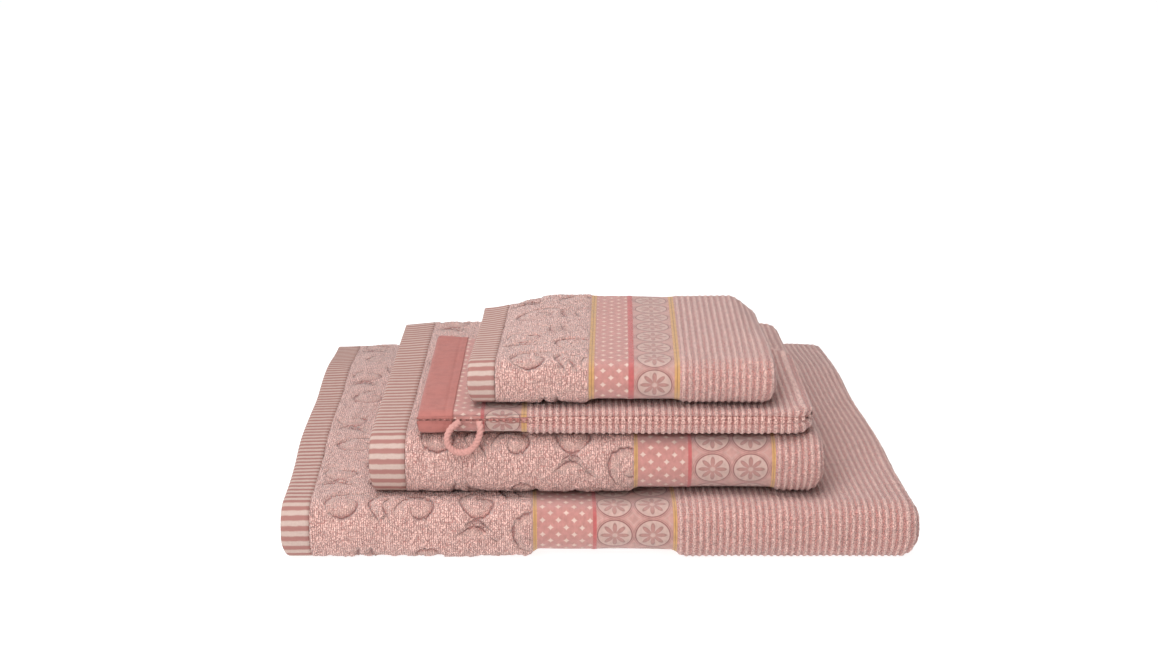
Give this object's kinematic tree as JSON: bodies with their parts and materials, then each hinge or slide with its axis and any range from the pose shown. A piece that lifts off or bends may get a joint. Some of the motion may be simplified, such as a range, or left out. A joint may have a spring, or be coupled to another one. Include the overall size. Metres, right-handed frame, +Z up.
{
  "type": "bath towel set",
  "caption": "Folded stack of a bath towel, a hand towel, a wash mitt with a hanging loop and a guest towel, in terry cloth with striped hems and woven border bands.",
  "frame": {"origin": "centre of the stack's box at its base, without the hanging loop", "axes": "+X to the right, +Y from the rolled fronts to the selvedges at the back, +Z up through the stack"},
  "size_m": [0.3634, 0.3602, 0.1113],
  "materials": {
    "terry_cloth": "pale pink cotton loop pile, sculpted, with woven border bands",
    "striped_hem": "flat woven coral and cream stripes",
    "woven_cuff": "flat woven deep rose cotton",
    "seam_thread": "overlocked cotton thread over trimmed cloth edges",
    "loop_cord": "twisted cotton cord"
  },
  "bodies": {
    "bath_towel": {"bath_towel_cloth": "terry_cloth", "bath_towel_outer_end_hem": "striped_hem", "bath_towel_inner_end_hem": "striped_hem"},
    "hand_towel": {"hand_towel_cloth": "terry_cloth", "hand_towel_outer_end_hem": "striped_hem", "hand_towel_inner_end_hem": "striped_hem"},
    "wash_mitt": {"mitt_upper_panel": "terry_cloth", "mitt_lower_panel": "terry_cloth", "mitt_upper_cuff": "woven_cuff", "mitt_lower_cuff": "woven_cuff", "mitt_overlocked_seam": "seam_thread"},
    "hanging_loop": {"mitt_hanging_loop": "loop_cord"},
    "guest_towel": {"guest_towel_cloth": "terry_cloth", "guest_towel_outer_end_hem": "striped_hem", "guest_towel_inner_end_hem": "striped_hem"}
  },
  "joints": [
    {"name": "hand_towel_lift", "type": "slide", "parent": "bath_towel", "child": "hand_towel", "axis": [0, 0, 1], "range_m": [0, 0.12]},
    {"name": "wash_mitt_lift", "type": "slide", "parent": "hand_towel", "child": "wash_mitt", "axis": [0, 0, 1], "range_m": [0, 0.12]},
    {"name": "guest_towel_lift", "type": "slide", "parent": "wash_mitt", "child": "guest_towel", "axis": [0, 0, 1], "range_m": [0, 0.12]},
    {"name": "hanging_loop_swing", "type": "hinge", "parent": "wash_mitt", "child": "hanging_loop", "pos_m": [-0.0661, -0.1662, 0.0781], "axis": [-1, 0, 0], "range_deg": [0, 120]}
  ]
}
